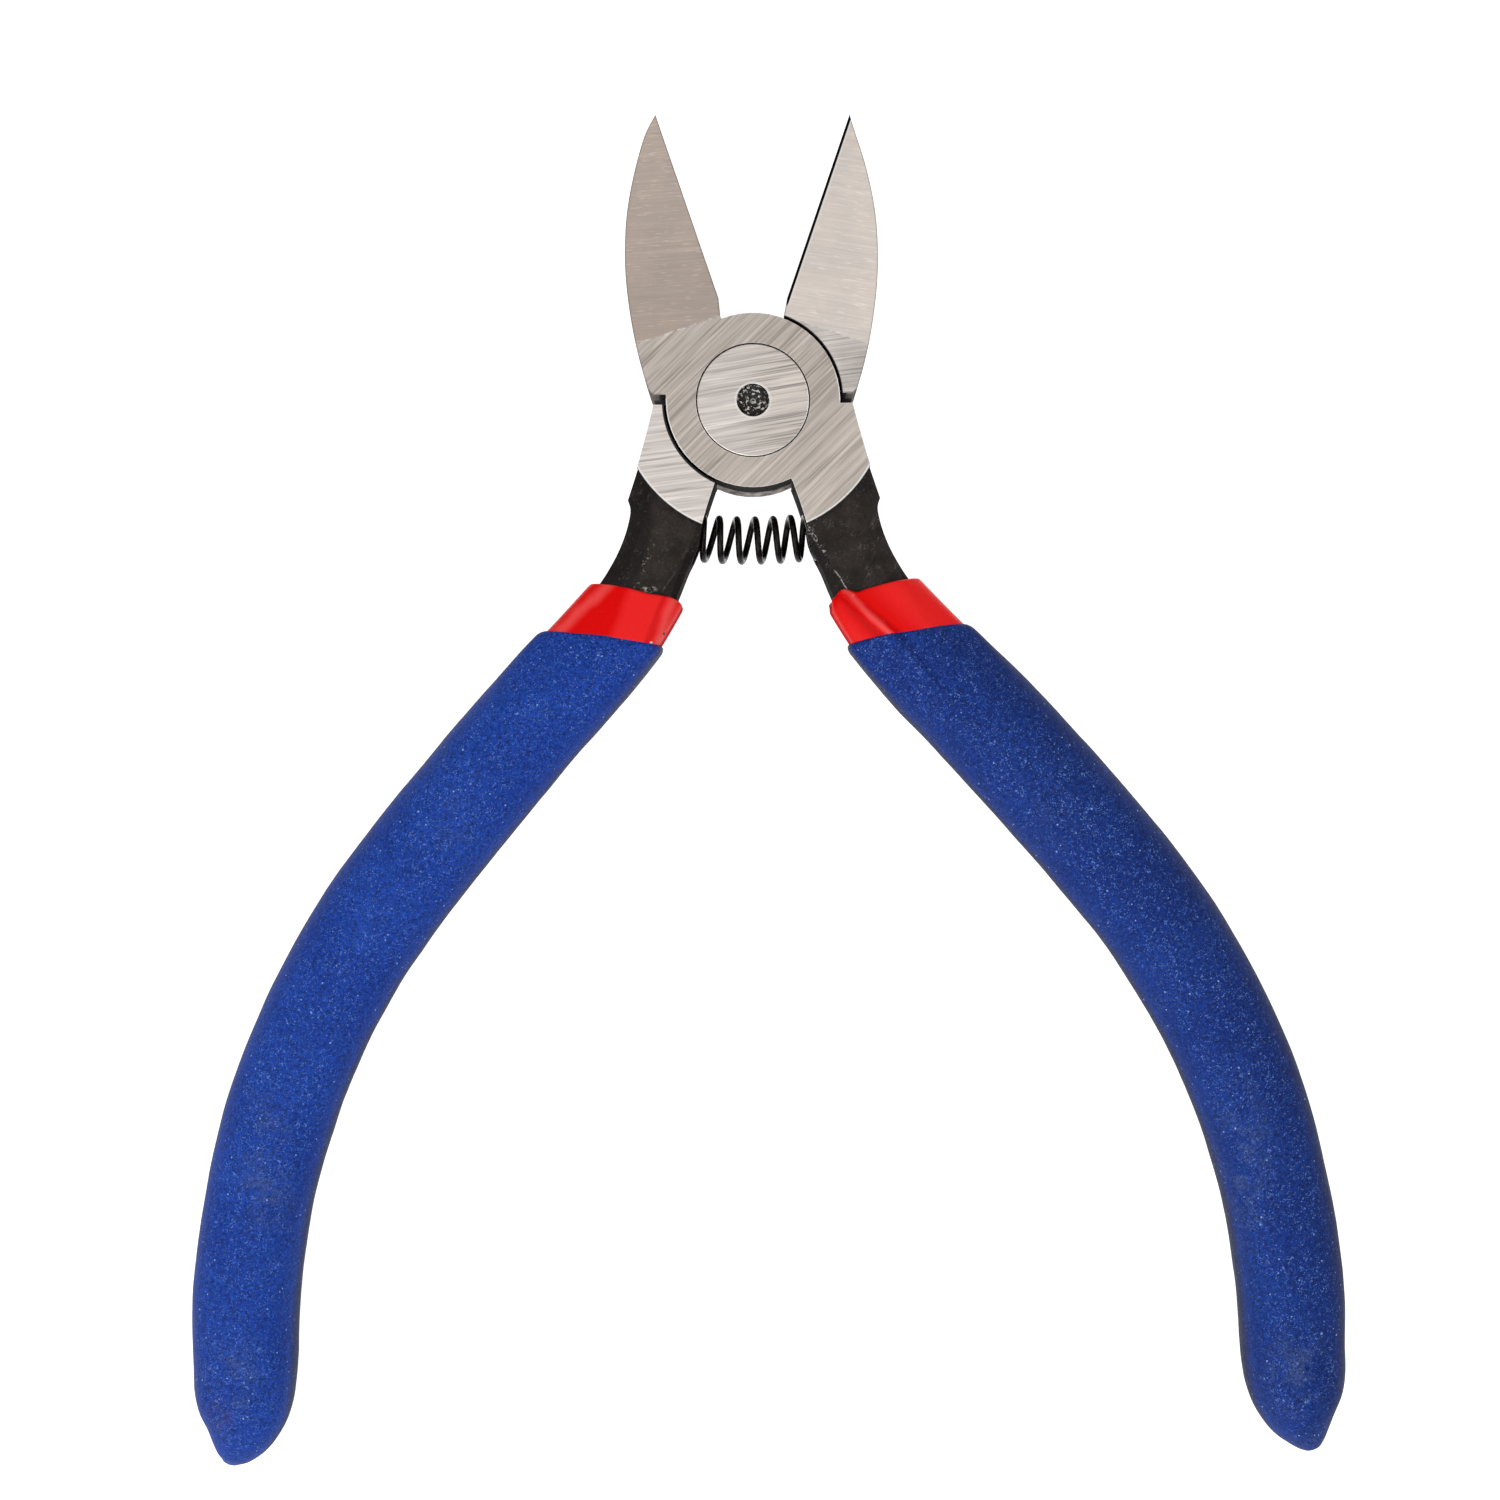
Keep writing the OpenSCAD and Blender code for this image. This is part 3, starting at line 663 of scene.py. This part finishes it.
def red_section(u, side, n=RED_N):
    """The dip follows the forged tang: an outer slope, a top face and an inner slope."""
    f = smoothstep(u / 2.4)
    lean = min(max(u / LIP, 0.0), 1.3)
    if side < 0:
        oc, ic, soft = 0.12 - 0.40 * lean, -0.66 - 0.16 * lean, 0.019
        crn = [(1.0, 0.0), (1.0, 0.42), (0.96, 0.58), (oc, 0.985), (ic, 1.0),
               (-0.985, 0.64 + 0.06 * f), (-1.0, 0.5), (-1.0, 0.0)]
    else:
        oc, ic, soft = 0.55 - 0.30 * f, -0.62 + 0.34 * lean, 0.019
        crn = [(1.0, 0.0), (1.0, 0.50), (0.94, 0.66), (oc, 0.985), (ic, 1.0),
               (-0.975, 0.71), (-1.0, 0.55), (-1.0, 0.0)]
    sec = rounded(n, crn, soft)
    if side > 0:
        # the tang's sharp crest shows through as a thin bead with a hollow beside it
        fade = 1 - smoothstep((u - LIP) / 1.5)
        up = sec[:, 1] > 0.2
        crest = 0.062 * np.exp(-((sec[:, 0] - ic) / 0.075) ** 2) - 0.030 * np.exp(-((sec[:, 0] - ic - 0.15) / 0.07) ** 2) \
            - 0.016 * np.exp(-((sec[:, 0] - ic + 0.20) / 0.15) ** 2)
        sec[:, 1] = np.where(up, sec[:, 1] + crest * fade, sec[:, 1])
    wide_in, wide_out = (1.02, 1.05) if side < 0 else (1.02 + 0.06 * smoothstep(u / 0.42), 1.0)
    sec[:, 0] = np.where(sec[:, 0] < 0, sec[:, 0] * wide_in, sec[:, 0] * wide_out)
    return sec


def red_inside(u):
    """Past the foam's edge the dip falls back to an oval well inside it."""
    return smoothstep((u - LIP - 0.05) / 0.5)


def lip_wave(side, c, up):
    """How far the dip's edge runs up (-) or down (+) the tang, in mm."""
    if side < 0:
        w = -0.30 * (1 - abs(c) ** 3) - 0.16 * math.exp(-((c + 0.72) / 0.22) ** 2) \
            + 0.10 * math.exp(-((c + 0.15) / 0.25) ** 2)
    else:
        w = -0.25 * (1 - abs(c) ** 3) - 0.62 * math.exp(-((c + 0.62) / (0.16 if c > -0.62 else 0.25)) ** 2) \
            + 0.14 * math.exp(-((c + 0.38) / 0.12) ** 2)
    if up < 0:
        w = 0.2 * math.sin(3.1 * c + 0.8 * side)
    t = min(max((-c - (0.90 if side < 0 else 0.88)) / 0.14, 0.0), 1.0)
    return w * smoothstep(abs(up) * 2.2) + 0.40 * (1 - math.sqrt(1 - t * t))


def red_sleeve(side):
    rings = []
    hug = oval(RED_N, 0.6)
    for i in range(int(SLEEVE_END) - 1, 1, -1):
        rings.append(place(i, hug, BAR_W * 1.12, BAR_T * 1.12))
    mouth = oval(RED_N, 0.7)
    rings.append(place(1, mouth, 3.75, 3.6))
    sec0 = red_section(0, side)
    wave = np.array([lip_wave(side, c, z) for c, z in sec0])
    rings.append(place(0.35, sec0, 3.34, 3.42, wave * 0.8))
    rad = 0.24
    for q in np.linspace(0, 90, 7):
        a = math.radians(q)
        ins = rad * (1 - math.sin(a))
        fwd = rad * (1 - math.cos(a))
        rings.append(place(0, sec0, sleeve_a(0), sleeve_b(0), wave + fwd, ins + (0.26 if q == 0 else 0.0)))
    u = 0.14
    while u < LIP + 1.0:
        g = red_inside(u)
        sec = red_section(u, side) * (1 - g) + oval(RED_N, 0.82) * g
        fade = math.exp(-(u * 2.65 / 1.3) ** 1.5)
        w = np.array([lip_wave(side, c, z) for c, z in sec]) * fade
        rings.append(place(u, sec, sleeve_a(u), sleeve_b(u), w, 0.75 * g))
        u += 0.14
    plain = oval(RED_N, 0.82)
    for i in range(4, int(SLEEVE_END)):
        rings.append(place(i, plain, sleeve_a(i), sleeve_b(i)))
    rings.append(place(SLEEVE_END, oval(RED_N, 0.85), sleeve_a(SLEEVE_END) * 0.7, sleeve_b(SLEEVE_END) * 0.7))
    rings = [on_handle(r, side) for r in rings]
    name = "left_dip" if side < 0 else "right_dip"
    ob = add_mesh(name, *skin(rings), red_material(side))
    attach(ob, "rear_half" if side < 0 else "front_half")
    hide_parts("left_inner_sleeve" if side < 0 else "right_inner_sleeve")
    return ob


red_sleeve(-1)
red_sleeve(1)


# ------------------------------------------------------------ blue outer grips
def blue_material(name, side):
    k = Mat(name)
    p = k.point()
    x, y, z = k.split(p)
    cloud = k.noise(p, 0.13, 3.0, 0.55)
    patchy = k.noise(p, 0.9, 3.0, 0.6)
    # the right grip is painted darker: mostly painted shade, partly a slightly darker dip
    tone = 1.0 if side < 0 else 0.64
    col = k.mix(k.step(cloud, 0.30, 0.70), (0.0056 * tone, 0.034 * tone, 0.240 * tone),
                (0.0080 * tone, 0.043 * tone, 0.276 * tone))
    col = k.gain(col, k.mad(k.sub(patchy, 0.5), 0.12, 1.0))
    if side > 0:
        # painted light and shade: this grip is lighter where it faces inward and darkest on its outer flank
        lean = k.split(k.new("ShaderNodeNewGeometry").outputs["Normal"])[0]
        col = k.gain(col, k.mad(k.step(lean, -0.6, 0.7), -0.34, 1.14))
        col = k.gain(col, k.mad(k.step(lean, 0.60, 0.93), -0.50, 1.0))

    # rubbed, greyer places where the hand and the bench wear the skin
    def near(cx, cy, rx, ry):
        a = k.mul(k.sub(x, cx), 1 / rx)
        b = k.mul(k.sub(y, cy), 1 / ry)
        return k.step(k.m("SQRT", k.add(k.mul(a, a), k.mul(b, b))), 1.0, 0.1)

    rub = k.m("MAXIMUM", near(side * 44.0 - 0.5, -69.0, 3.6, 11.0), near(side * 48.0, -88.0, 4.5, 6.0))
    rub = k.m("MAXIMUM", rub, k.mul(near(side * 27.0, -37.0, 3.2, 7.0), 0.4))
    rub = k.mul(rub, k.step(k.noise(p, 0.55, 3.0, 0.65), 0.40, 0.66))
    col = k.mix(k.mul(rub, 0.50), col, (0.046, 0.075, 0.190))
    if side < 0:
        # painted sheen: a dark purple patch near the left grip's tip
        painted_sheen = k.mul(near(-49.2, -91.3, 2.0, 3.0), k.step(patchy, 0.38, 0.62))
        col = k.mix(k.mul(painted_sheen, 0.6), col, (0.050, 0.045, 0.150))
    # foamed grain: soft bumps, dark pits, and many small pale flecks
    grain = k.noise(p, 3.6, 3.0, 0.72)
    tiny = k.noise(p, 7.6, 2.0, 0.6)
    flat = k.flatness()
    crown = k.step(flat, 0.55, 0.95)
    # painted shade: the grip darkens towards its flanks and edges, its crown painted a little lighter
    col = k.gain(col, k.mul(k.mul(k.mad(k.step(flat, 0.02, 0.42), 0.38, 0.62), k.mad(k.step(flat, 0.10, 0.44), 0.62, 0.38)), k.mad(crown, 0.10, 0.95)))
    col = k.gain(col, k.m("MAXIMUM", k.add(k.mad(k.sub(grain, 0.5), 2.9, 1.0), k.mul(k.sub(tiny, 0.5), 2.2)), 0.22))
    many = k.mad(k.step(k.noise(p, 0.5, 2.0, 0.6), 0.35, 0.65), 0.5, 0.45)
    fleck = k.step(k.noise(p, 4.3, 1.0, 0.5, 1.6), 0.59, 0.69)
    many = k.mul(many, k.mad(crown, 0.75, 0.45))
    col = k.mix(k.mul(fleck, k.mul(many, 0.76)), col, (0.105, 0.205, 0.56))
    star = k.sub(k.cells(p, 1.7), k.mul(k.sub(k.noise(p, 2.3, 1.0), 0.5), 0.35))
    lone = k.step(k.noise(p, 1.1, 2.0), 0.48, 0.58)
    col = k.mix(k.mul(k.mul(k.step(star, 0.135, 0.06), lone), 0.72), col, (0.30, 0.45, 0.84))
    pore = k.cells(k.vec(k.add(x, 9.0), y, z), 1.7)
    col = k.mix(k.mul(k.step(pore, 0.13, 0.06), 0.7), col, (0.003, 0.006, 0.035))
    k.set(Base_Color=col, Specular_IOR_Level=0.12, IOR=1.5)
    k.set(Roughness=k.mad(k.sub(grain, 0.5), 0.3, 0.62))
    h = k.add(k.mul(grain, 1.0), k.add(k.mul(tiny, 0.3), k.mul(k.step(pore, 0.13, 0.03), -0.4)))
    k.set(Normal=k.bump(h, 0.06))
    return k.mat


BLUE_N = 128


def blue_grip(side):
    rings = []
    steps = [SLEEVE_END] + list(range(int(SLEEVE_END) - 1, 2, -1))
    inner = oval(BLUE_N, 0.82)
    rings.append(place(SLEEVE_END, oval(BLUE_N, 0.85), sleeve_a(SLEEVE_END) * 0.7 + 0.02, sleeve_b(SLEEVE_END) * 0.7 + 0.02))
    for i in range(int(SLEEVE_END) - 1, 2, -1):
        rings.append(place(i, inner, sleeve_a(i) + 0.02, sleeve_b(i) + 0.02))

    def section(u):
        f = smoothstep((u - LIP) / 3.2)
        return red_section(LIP, side, BLUE_N) * (1 - f) + oval(BLUE_N, 0.88 if u < 24 else 0.88 + 0.02 * (u - 24)) * f

    sec0 = section(LIP)

    # the dipped edge bows towards the head
    def bow(sec):
        w = []
        for c, z in sec:
            f = -0.34 * (1 - abs(c) ** 2.2) * smoothstep(abs(z) * 1.5) + 0.05 * math.sin(5 * c + side)
            w.append(f)
        return np.array(w)
    rings.append(place(LIP + 0.12, sec0, sleeve_a(1.99) - 0.10, sleeve_b(1.99) - 0.10, bow(sec0)))
    steps.append(LIP + 0.12)
    a0, b0 = line(LIP)[2], line(LIP)[3]
    for q in np.linspace(0, 90, 9):
        ang = math.radians(q)
        ins = 0.42 * (1 - math.sin(ang))
        fwd = 0.75 * (1 - math.cos(ang)) ** 1.0
        u = LIP + fwd / 2.9
        al, bl = line(u)[2], line(u)[3]
        fade = math.exp(-((u - LIP) * 2.9 / 3.0) ** 2)
        rings.append(place(u, sec0, al, bl, bow(sec0) * fade, ins))
        steps.append(u)
    u = LIP + 0.42
    while u < LAST - 0.01:
        sec = section(u)
        fade = math.exp(-((u - LIP) * 2.9 / 3.0) ** 2)
        rings.append(place(u, sec, line(u)[2], line(u)[3], bow(sec) * fade if fade > 0.01 else None))
        steps.append(u)
        u += 0.2 if u < 20 else 0.12
    end = place(LAST, oval(BLUE_N, 0.95), 0.72, 1.0)
    rings.append(end)
    rings.append(end * 0.5 + end.mean(axis=0) * 0.5 + np.array([*(tangent(LAST) * 0.18), 0]))
    steps += [LAST, LAST]
    first = len(range(int(SLEEVE_END) - 1, 2, -1)) + 2
    # the left grip is a little slimmer on its inner side
    inward = [-np.append(across(u_), 0) / np.linalg.norm(across(u_)) for u_ in steps]
    slim = [np.interp(u_, [2.2, 4, 5.2, 6.3, 7.2, 8.3, 9.5, 11.6, 14], [0.1, 0.33, 0.43, 0.33, 0.26, 0.2, 0.13, 0.15, 0.0])
            if i_ >= first + 4 else 0.0 for i_, u_ in enumerate(steps)]
    # the left grip's end is trimmer on its outer side; the right one runs on a little
    trim = [np.interp(u_, [LAST - 7.0, LAST - 4.2, LAST - 1.0, LAST], [0.0, 0.36, 0.32, 0.10]) for u_ in steps]
    if side > 0:
        for i in range(first + 4, len(rings)):
            rings[i] = rings[i] + np.array([*(tangent(min(steps[i], LAST)) * 0.34 * smoothstep((steps[i] - LAST + 2.4) / 2.4)), 0])
    # soft unevenness of a dipped and foamed skin
    for i in range(first + 4, len(rings) - 2):
        r = rings[i]
        c = r.mean(axis=0)
        for j in range(BLUE_N):
            v = Vector(r[j])
            n = noise.noise(v * 0.23 + Vector((3 * side, 7, 1))) * 0.07 + noise.noise(v * 0.9) * 0.018
            d = r[j] - c
            if side < 0 and d.dot(inward[i]) > 0:
                n -= slim[i] * d.dot(inward[i]) / np.linalg.norm(d)
            elif side < 0:
                n += trim[i] * d.dot(inward[i]) / np.linalg.norm(d)
            r[j] += d / np.linalg.norm(d) * n
        r[:, 2] = np.clip(r[:, 2], 0.0, HEAD_T)
    rings = [on_handle(r, side) for r in rings]
    name = "left_foam_grip" if side < 0 else "right_foam_grip"
    ob = add_mesh(name, *skin(rings), blue_material(name + "_skin", side))
    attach(ob, "rear_half" if side < 0 else "front_half")
    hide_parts("left_outer_grip" if side < 0 else "right_outer_grip")
    return ob


blue_grip(-1)
blue_grip(1)


# ------------------------------------------------------------ return spring
def spring_material():
    k = Mat("black_spring_wire")
    p = k.point()
    wear = k.noise(p, 1.7, 3.0, 0.65)
    fine = k.noise(p, 7.0, 2.0, 0.6)
    col = k.mix(k.step(wear, 0.35, 0.7), (0.0030, 0.0022, 0.0020), (0.0090, 0.0066, 0.0060))
    scuff = k.mul(k.step(fine, 0.62, 0.72), k.step(wear, 0.5, 0.62))
    col = k.mix(k.mul(scuff, 0.5), col, (0.20, 0.18, 0.17))
    k.set(Base_Color=col, Metallic=0.0, IOR=1.22, Specular_IOR_Level=0.5)
    k.set(Roughness=k.mad(k.sub(wear, 0.5), 0.15, 0.14))
    k.set(Normal=k.bump(k.add(fine, wear), 0.006))
    return k.mat


def return_spring():
    wire, od, turns = 0.60, 4.5, 11
    seat_y, seat_face, seat_depth, closed = -13.25, 0.5, 3.0, 0.9

    def turn(v, a):
        return np.array([v[0] * math.cos(a) - v[1] * math.sin(a), v[0] * math.sin(a) + v[1] * math.cos(a)])

    end = turn((seat_face + seat_depth - 0.05 - wire / 2, seat_y), OPEN)
    way = turn((1, 0), OPEN)
    q0, r0 = np.array([-end[0], end[1]]), end
    d0, e0 = np.array([way[0], -way[1]]) * 9, way * 9

    def bow(t):
        return ((2 * t ** 3 - 3 * t * t + 1) * q0 + (t ** 3 - 2 * t * t + t) * d0
                + (3 * t * t - 2 * t ** 3) * r0 + (t ** 3 - t * t) * e0)

    pitch = wire * 1.04
    length = 2 * end[0] * 1.03
    mid_p = (length - 2 * closed * pitch) / (turns - 2 * closed)

    def feed(f):
        w = f * turns
        if w < closed:
            return w * pitch / length
        if w > turns - closed:
            return 1 - (turns - w) * pitch / length
        return (closed * pitch + (w - closed) * mid_p) / length

    rc = od / 2 - wire / 2

    def at(f):
        t = feed(f)
        c = bow(t)
        g = bow(min(t + 0.01, 1)) - bow(max(t - 0.01, 0))
        g = g / np.linalg.norm(g)
        q = math.radians(360 * turns * f - 120)
        away = math.sin(math.pi * min(max((t - 0.06) / 0.88, 0.0), 1.0)) ** 0.4
        lean = (0.16 + 0.085 * rc * math.cos(q)) * away
        return np.array([c[0] - g[1] * rc * math.cos(q) + g[0] * lean, c[1] + g[0] * rc * math.cos(q) + g[1] * lean,
                         MID + rc * math.sin(q)]), c

    m, n = turns * 40, 14
    pts = [at(i / m) for i in range(m + 1)]
    rings = []
    for i in range(m + 1):
        p, c = pts[i]
        a = pts[max(i - 1, 0)][0]
        b = pts[min(i + 1, m)][0]
        v = (b - a) / np.linalg.norm(b - a)
        out = p - np.array([c[0], c[1], MID])
        out = out / np.linalg.norm(out)
        o = out - v * out.dot(v)
        o = o / np.linalg.norm(o)
        w = np.cross(v, o)
        ring = lambda rad, push=0.0: np.array(
            [p + v * push + rad * (o * math.cos(2 * math.pi * k / n) + w * math.sin(2 * math.pi * k / n))
             for k in range(n)])
        rad = wire / 2
        if i == 0:
            rings += [ring(rad * 0.6, -0.10), ring(rad * 0.9, -0.06)]
        rings.append(ring(rad))
        if i == m:
            rings += [ring(rad * 0.9, 0.06), ring(rad * 0.6, 0.10)]
    ob = add_mesh("coil_spring", *skin(rings), spring_material())
    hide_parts("return_spring")
    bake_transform(ob)
    return ob


return_spring()


# ------------------------------------------------------------ floor and light
def plain(name, colour, rough, glow=0.0):
    k = Mat(name)
    tone = k.noise(k.point(), 0.02, 2.0, 0.5)
    k.set(Base_Color=k.mix(tone, tuple(c * 0.985 for c in colour), colour), Roughness=rough, Specular_IOR_Level=0.1)
    if glow:
        k.set(Emission_Color=(1, 1, 1, 1), Emission_Strength=glow)
    return k.mat


me = bpy.data.meshes.new("floor")
S = 2.5
me.from_pydata([(-S, -S, -2e-5), (S, -S, -2e-5), (S, S, -2e-5), (-S, S, -2e-5)], [], [(0, 1, 2, 3)])
me.materials.append(plain("floor_white", (0.42, 0.42, 0.42), 0.9, 0.97))
floor = bpy.data.objects.new("floor", me)
scene.collection.objects.link(floor)

world = bpy.data.worlds.new("studio")
scene.world = world
world.use_nodes = True
wt = world.node_tree
bg = wt.nodes["Background"]
bg.inputs[0].default_value = (1.0, 1.0, 1.0, 1)
# a pale room with a broad lit ceiling
where = wt.nodes.new("ShaderNodeTexCoord")
part = wt.nodes.new("ShaderNodeSeparateXYZ")
ramp = wt.nodes.new("ShaderNodeMapRange")
ramp.interpolation_type = "SMOOTHSTEP"
ramp.inputs["From Min"].default_value = 0.45
ramp.inputs["From Max"].default_value = 1.0
ramp.inputs["To Min"].default_value = 0.34
ramp.inputs["To Max"].default_value = 0.80
wt.links.new(where.outputs["Generated"], part.inputs[0])
wt.links.new(part.outputs[2], ramp.inputs["Value"])
wt.links.new(ramp.outputs["Result"], bg.inputs[1])


def softbox(name, pos, size, power):
    ld = bpy.data.lights.new(name, "AREA")
    ld.shape = "RECTANGLE"
    ld.size, ld.size_y = size
    ld.energy = power
    ob = bpy.data.objects.new(name, ld)
    ob.location = pos
    ob.rotation_euler = (Vector((0, -0.03, 0)) - Vector(pos)).to_track_quat("-Z", "Y").to_euler()
    ob.visible_camera = False
    scene.collection.objects.link(ob)
    return ob


softbox("key", (-0.30, -0.46, 0.52), (0.95, 0.75), 4.2)
softbox("fill", (0.42, 0.05, 0.50), (0.30, 0.30), 0.7)
